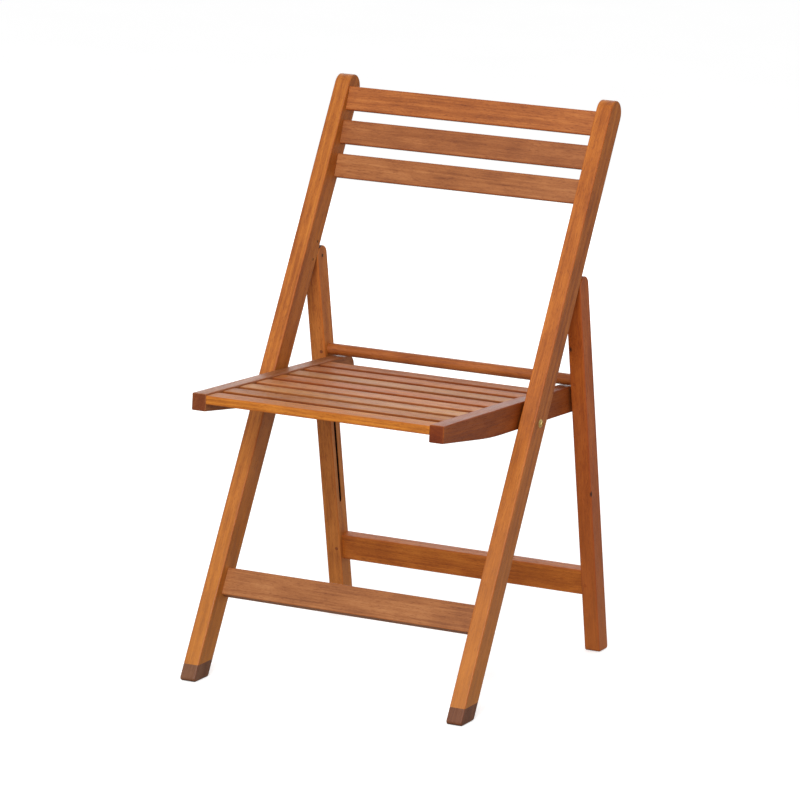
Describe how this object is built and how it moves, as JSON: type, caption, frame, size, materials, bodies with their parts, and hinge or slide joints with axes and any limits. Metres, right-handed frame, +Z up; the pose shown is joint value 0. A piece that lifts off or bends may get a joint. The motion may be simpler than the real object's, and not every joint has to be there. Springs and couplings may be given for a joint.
{
  "type": "folding chair",
  "caption": "Folding wooden garden chair with a slatted seat and slatted back; the rear legs swing in and the seat tips up so that it folds flat.",
  "frame": {"origin": "floor level, under the middle of the chair's bounding box, chair open", "axes": "+Z up, -Y towards the chair's front (the way a sitter faces), X across the chair"},
  "size_m": [0.43, 0.5183, 0.785],
  "materials": {
    "frame_wood": "oiled acacia, satin",
    "slat_wood": "oiled acacia, satin",
    "dark_foot": "dark sealed end block",
    "steel": "zinc-plated steel",
    "brass": "brass plated, slightly dulled",
    "nylon": "dark nylon"
  },
  "bodies": {
    "front_frame": {"back_slat_lower": "frame_wood", "back_slat_middle": "frame_wood", "back_slat_top": "frame_wood", "foot_block_left": "dark_foot", "foot_block_right": "dark_foot", "foot_dowel_left": "frame_wood", "foot_dowel_right": "frame_wood", "front_leg_left": "frame_wood", "front_leg_right": "frame_wood", "front_stretcher": "frame_wood", "hinge_strap_left": "steel", "hinge_strap_right": "steel", "strap_pin_lower_left": "steel", "strap_pin_lower_right": "steel", "strap_pin_upper_left": "steel", "strap_pin_upper_right": "steel"},
    "seat": {"seat_bolt_left": "brass", "seat_bolt_right": "brass", "seat_insert_left": "brass", "seat_insert_right": "brass", "seat_rail_left": "frame_wood", "seat_rail_right": "frame_wood", "seat_slat_1": "slat_wood", "seat_slat_2": "slat_wood", "seat_slat_3": "slat_wood", "seat_slat_4": "slat_wood", "seat_slat_5": "slat_wood", "seat_slat_6": "slat_wood", "seat_slat_7": "slat_wood", "seat_slat_8": "slat_wood", "seat_washer_left": "nylon", "seat_washer_right": "nylon"},
    "rear_frame": {"bar_peg_left": "frame_wood", "bar_peg_right": "frame_wood", "hinge_pin_left": "steel", "hinge_pin_right": "steel", "rear_leg_left": "frame_wood", "rear_leg_right": "frame_wood", "rear_stretcher": "frame_wood", "round_bar": "frame_wood", "stretcher_peg_left": "frame_wood", "stretcher_peg_right": "frame_wood"},
    "left_slide_pin": {"slide_pin_left": "steel"},
    "right_slide_pin": {"slide_pin_right": "steel"}
  },
  "joints": [
    {"name": "rear_fold", "type": "hinge", "parent": "front_frame", "child": "rear_frame", "pos_m": [0, 0.12175, 0.53899], "axis": [-1, 0, 0], "range_deg": [0, 41.1]},
    {"name": "seat_fold", "type": "hinge", "parent": "front_frame", "child": "seat", "pos_m": [0, -0.0083, 0.37157], "axis": [-1, 0, 0], "range_deg": [0, 107.26]},
    {"name": "left_pin_slide", "type": "slide", "parent": "rear_frame", "child": "left_slide_pin", "axis": [0, 0.2233, -0.9748], "range_m": [0, 0.2023]},
    {"name": "right_pin_slide", "type": "slide", "parent": "rear_frame", "child": "right_slide_pin", "axis": [0, 0.2233, -0.9748], "range_m": [0, 0.2023]}
  ],
  "couplings": [
    {"joint": "seat_fold", "follows": "rear_fold", "ratio": 2.6096},
    {"joint": "left_pin_slide", "follows": "rear_fold", "m_per_rad": 0.2819},
    {"joint": "right_pin_slide", "follows": "rear_fold", "m_per_rad": 0.2819}
  ]
}
